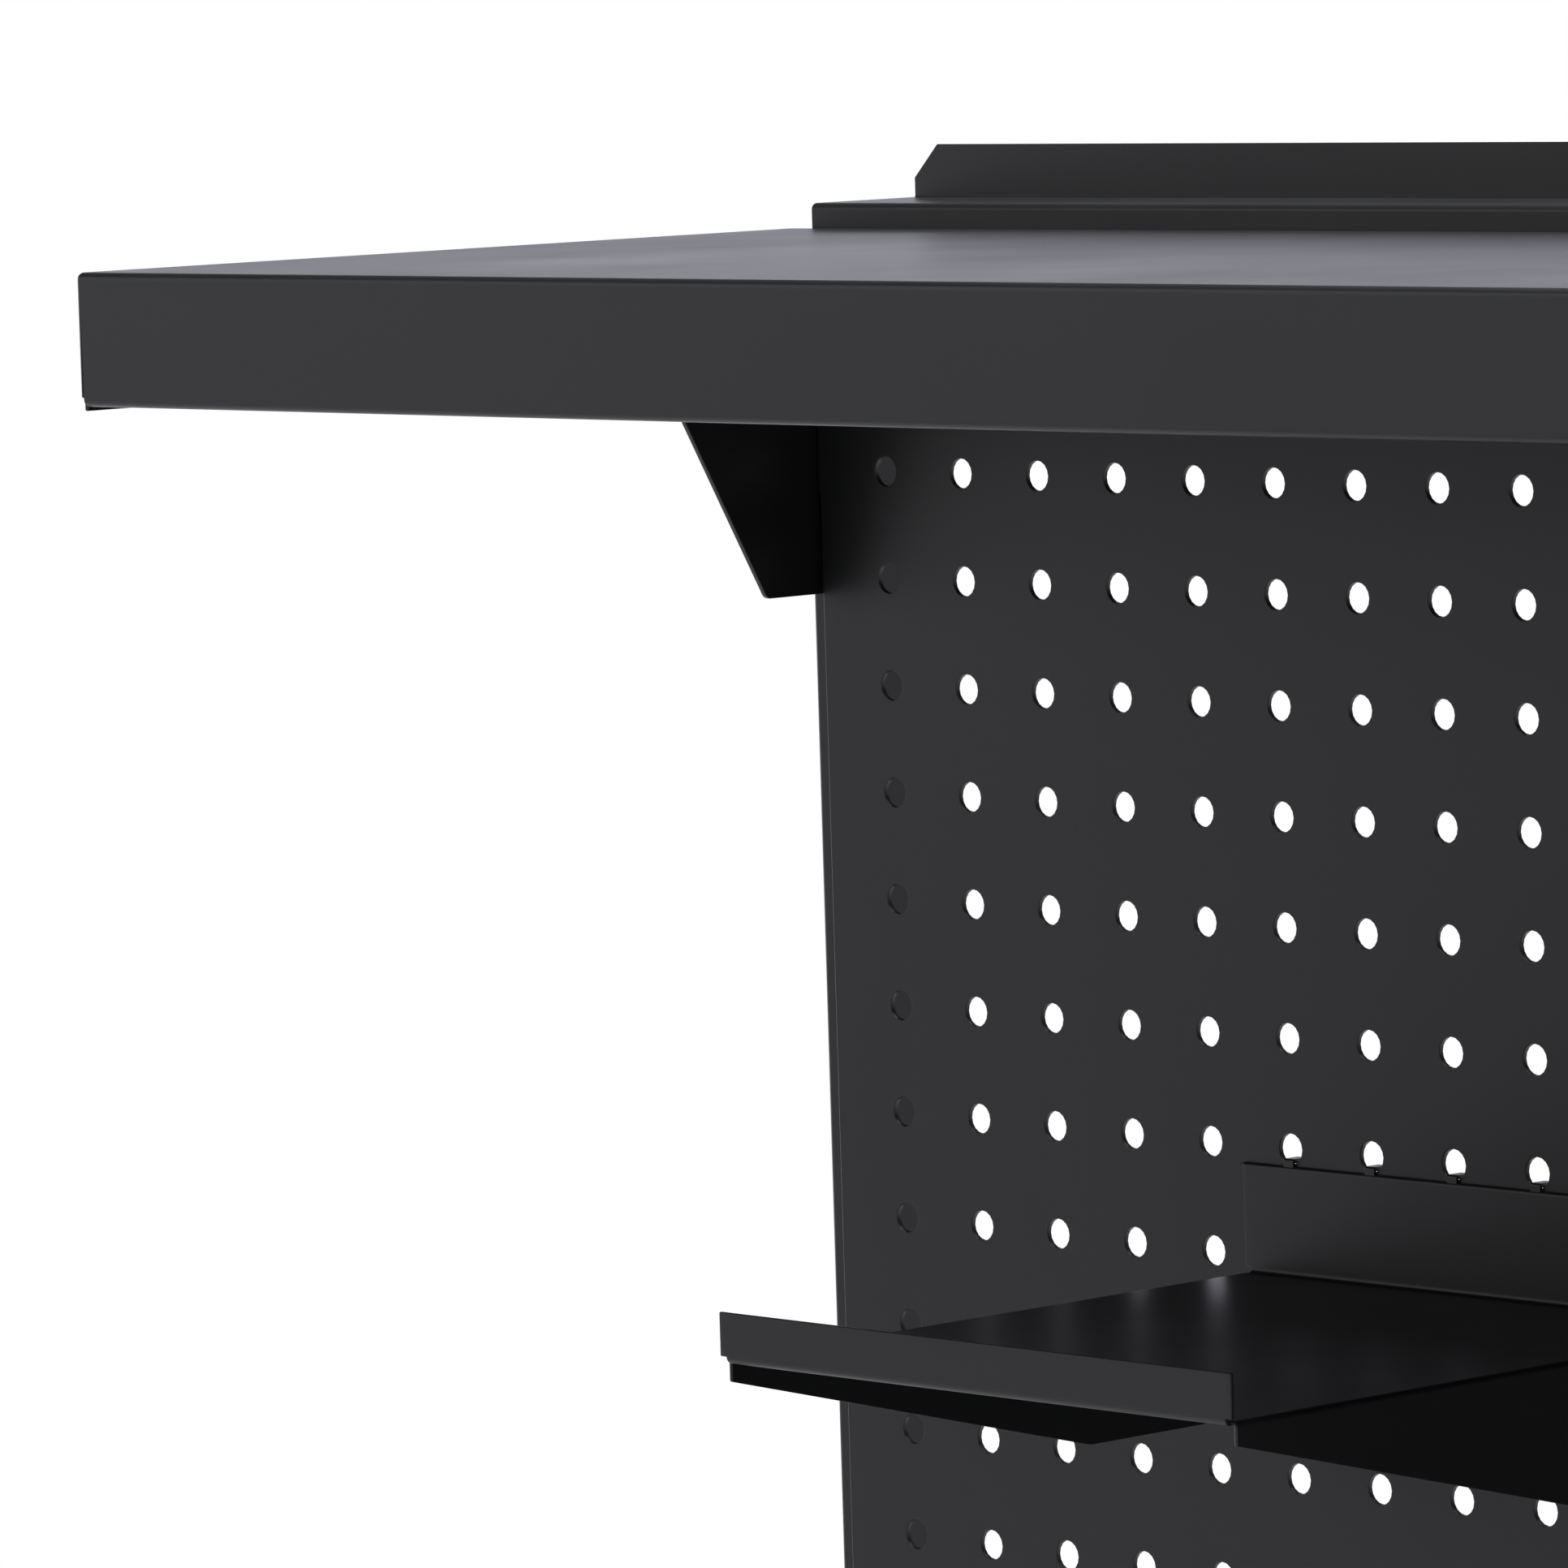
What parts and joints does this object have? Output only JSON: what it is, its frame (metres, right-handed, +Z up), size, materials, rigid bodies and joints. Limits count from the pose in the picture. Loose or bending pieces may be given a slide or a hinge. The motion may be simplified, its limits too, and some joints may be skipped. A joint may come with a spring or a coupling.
{
  "type": "gondola shelving unit",
  "caption": "Low retail gondola unit: perforated back panel on two uprights, deep bracketed top shelf, small hang-on tray and a base deck on levelling feet.",
  "frame": {"origin": "on the floor under the middle of the unit's overall box", "axes": "+X along the width to the right, +Y from the front to the back, +Z up"},
  "size_m": [1.2018, 0.3356, 0.762],
  "materials": {
    "black_powder_coat": "satin black powder coat on steel sheet and tube",
    "zinc_plate": "bright zinc plate",
    "black_plastic": "moulded black plastic"
  },
  "bodies": {
    "frame": {"left_upright": "black_powder_coat", "right_upright": "black_powder_coat", "left_upright_cap": "black_plastic", "right_upright_cap": "black_plastic", "peg_panel": "black_powder_coat", "panel_stiffener": "black_powder_coat", "top_rail": "black_powder_coat", "left_base_leg": "black_powder_coat", "right_base_leg": "black_powder_coat", "back_brace": "black_powder_coat", "kick_plate": "black_powder_coat", "panel_screws": "black_powder_coat", "rail_screws": "black_powder_coat", "kick_plate_screws": "black_powder_coat", "frame_bolts": "zinc_plate", "leg_weld_nuts": "zinc_plate", "foot_lock_nuts": "zinc_plate", "leg_bushes": "zinc_plate", "upright_foot_plugs": "black_plastic"},
    "shelf_brackets": {"left_shelf_bracket": "black_powder_coat", "right_shelf_bracket": "black_powder_coat"},
    "top_shelf": {"top_shelf_deck": "black_powder_coat", "top_shelf_stiffener": "black_powder_coat"},
    "base_shelf": {"base_deck": "black_powder_coat", "base_deck_stiffener": "black_powder_coat"},
    "tray": {"hang_tray": "black_powder_coat"},
    "front_left_foot": {"front_left_foot_pad": "black_plastic", "front_left_foot_stud": "zinc_plate"},
    "front_right_foot": {"front_right_foot_pad": "black_plastic", "front_right_foot_stud": "zinc_plate"},
    "back_left_foot": {"back_left_foot_pad": "black_plastic", "back_left_foot_stud": "zinc_plate"},
    "back_right_foot": {"back_right_foot_pad": "black_plastic", "back_right_foot_stud": "zinc_plate"}
  },
  "joints": [
    {"name": "bracket_unhook", "type": "slide", "parent": "frame", "child": "shelf_brackets", "axis": [0, 0, 1], "range_m": [0, 0.0072]},
    {"name": "top_shelf_lift", "type": "slide", "parent": "shelf_brackets", "child": "top_shelf", "axis": [0, 0, 1], "range_m": [0, 0.06]},
    {"name": "base_deck_lift", "type": "slide", "parent": "frame", "child": "base_shelf", "axis": [0, 0, 1], "range_m": [0, 0.06]},
    {"name": "tray_unhook", "type": "slide", "parent": "frame", "child": "tray", "axis": [0, 0, 1], "range_m": [0, 0.0052]},
    {"name": "front_left_foot_adjust", "type": "slide", "parent": "frame", "child": "front_left_foot", "axis": [0, 0, -1], "range_m": [0, 0.012]},
    {"name": "front_right_foot_adjust", "type": "slide", "parent": "frame", "child": "front_right_foot", "axis": [0, 0, -1], "range_m": [0, 0.012]},
    {"name": "back_left_foot_adjust", "type": "slide", "parent": "frame", "child": "back_left_foot", "axis": [0, 0, -1], "range_m": [0, 0.012]},
    {"name": "back_right_foot_adjust", "type": "slide", "parent": "frame", "child": "back_right_foot", "axis": [0, 0, -1], "range_m": [0, 0.012]}
  ]
}
